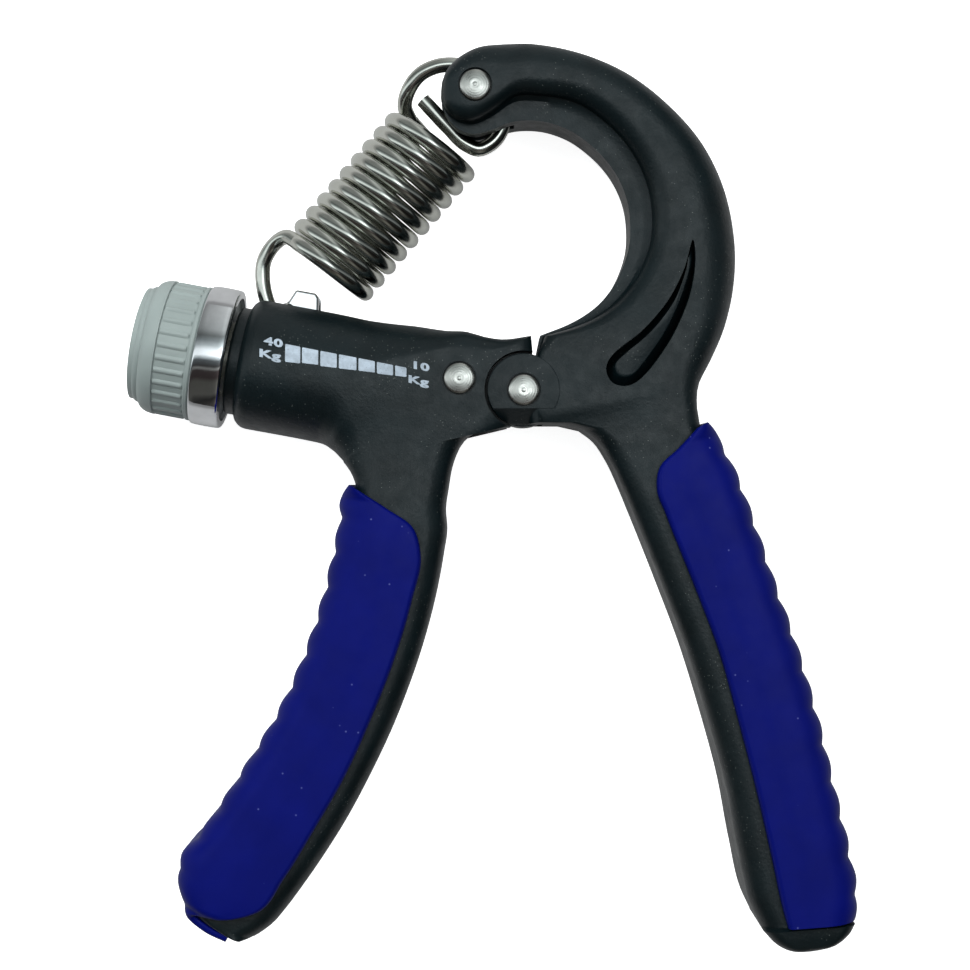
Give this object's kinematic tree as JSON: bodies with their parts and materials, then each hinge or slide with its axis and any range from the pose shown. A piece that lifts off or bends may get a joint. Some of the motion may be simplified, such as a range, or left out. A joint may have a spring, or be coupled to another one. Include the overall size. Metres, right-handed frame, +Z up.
{
  "type": "adjustable hand grip exerciser",
  "caption": "Adjustable spring hand grip exerciser: two hinged handles with rippled grips, a coil spring on a screw-driven slider in a barrel, and a turning knob.",
  "frame": {"origin": "on the surface that the grip lies on, under the middle of its bounding box", "axes": "+Z up along the hinge axis, +Y from the handles' ends towards the C arm, +X from the knob towards the right handle"},
  "size_m": [0.1078, 0.1336, 0.022],
  "materials": {
    "black_plastic": "satin, fine grain",
    "blue_rubber": "satin",
    "grey_plastic": "satin",
    "rivet_steel": "burnished",
    "spring_steel": "nickel plated, drawn",
    "zinc_steel": "zinc plated",
    "chrome_steel": "polished",
    "chrome_ring": "polished"
  },
  "bodies": {
    "left_handle": {"left_handle": "black_plastic", "left_grip": "blue_rubber", "screw_pin": "rivet_steel", "barrel_bush": "black_plastic"},
    "right_handle": {"right_handle": "black_plastic", "right_grip": "blue_rubber", "pivot_rivet": "rivet_steel", "spring_pin": "rivet_steel"},
    "adjuster": {"adjusting_screw": "zinc_steel", "knob": "grey_plastic", "knob_ring": "chrome_ring", "knob_cap": "grey_plastic", "knob_screw": "zinc_steel", "thrust_washer": "zinc_steel"},
    "slider": {"slider_nut": "chrome_steel"},
    "hook_pin": {"hook_pin": "rivet_steel"},
    "spring_lower": {"spring_lower_hook": "spring_steel"},
    "spring_coil": {"spring_coil": "spring_steel"},
    "spring_upper": {"spring_upper_hook": "spring_steel"}
  },
  "joints": [
    {"name": "squeeze", "type": "hinge", "parent": "left_handle", "child": "right_handle", "pos_m": [0.00495, 0.01542, 0.011], "axis": [0, 0, -1], "range_deg": [0, 30], "stiffness_Nm_per_rad": 10.7, "springref_deg": -14.32},
    {"name": "knob_turn", "type": "hinge", "parent": "left_handle", "child": "adjuster", "pos_m": [-0.03805, 0.02017, 0.011], "axis": [0.9833, -0.1822, 0], "range_deg": [-2880, 0]},
    {"name": "slider_travel", "type": "slide", "parent": "left_handle", "child": "slider", "axis": [0.9833, -0.1822, 0], "range_m": [0, 0.016]},
    {"name": "hook_pin_turn", "type": "hinge", "parent": "slider", "child": "hook_pin", "pos_m": [-0.02998, 0.02752, 0.011], "axis": [0, 0, 1], "range_deg": [0, 21.7]},
    {"name": "spring_swing", "type": "hinge", "parent": "hook_pin", "child": "spring_lower", "pos_m": [-0.02738, 0.03056, 0.011], "axis": [0, 0, -1], "range_deg": [0, 20.4]},
    {"name": "spring_close", "type": "slide", "parent": "spring_lower", "child": "spring_coil", "axis": [-0.6492, -0.7606, 0], "range_m": [0, 0.00535], "deforming": ["spring_lower_hook"]},
    {"name": "spring_stretch", "type": "slide", "parent": "spring_coil", "child": "spring_upper", "axis": [0.6492, 0.7606, 0], "range_m": [0, 0.0168], "deforming": ["spring_coil", "spring_upper_hook"]}
  ],
  "couplings": [
    {"joint": "knob_turn", "follows": "slider_travel", "rad_per_m": -3141.6},
    {"joint": "hook_pin_turn", "follows": "slider_travel", "rad_per_m": 23.648},
    {"joint": "spring_close", "follows": "slider_travel", "ratio": 0.33389},
    {"joint": "spring_swing", "follows": "squeeze", "ratio": 0.67737},
    {"joint": "spring_stretch", "follows": "squeeze", "m_per_rad": 0.031957}
  ]
}
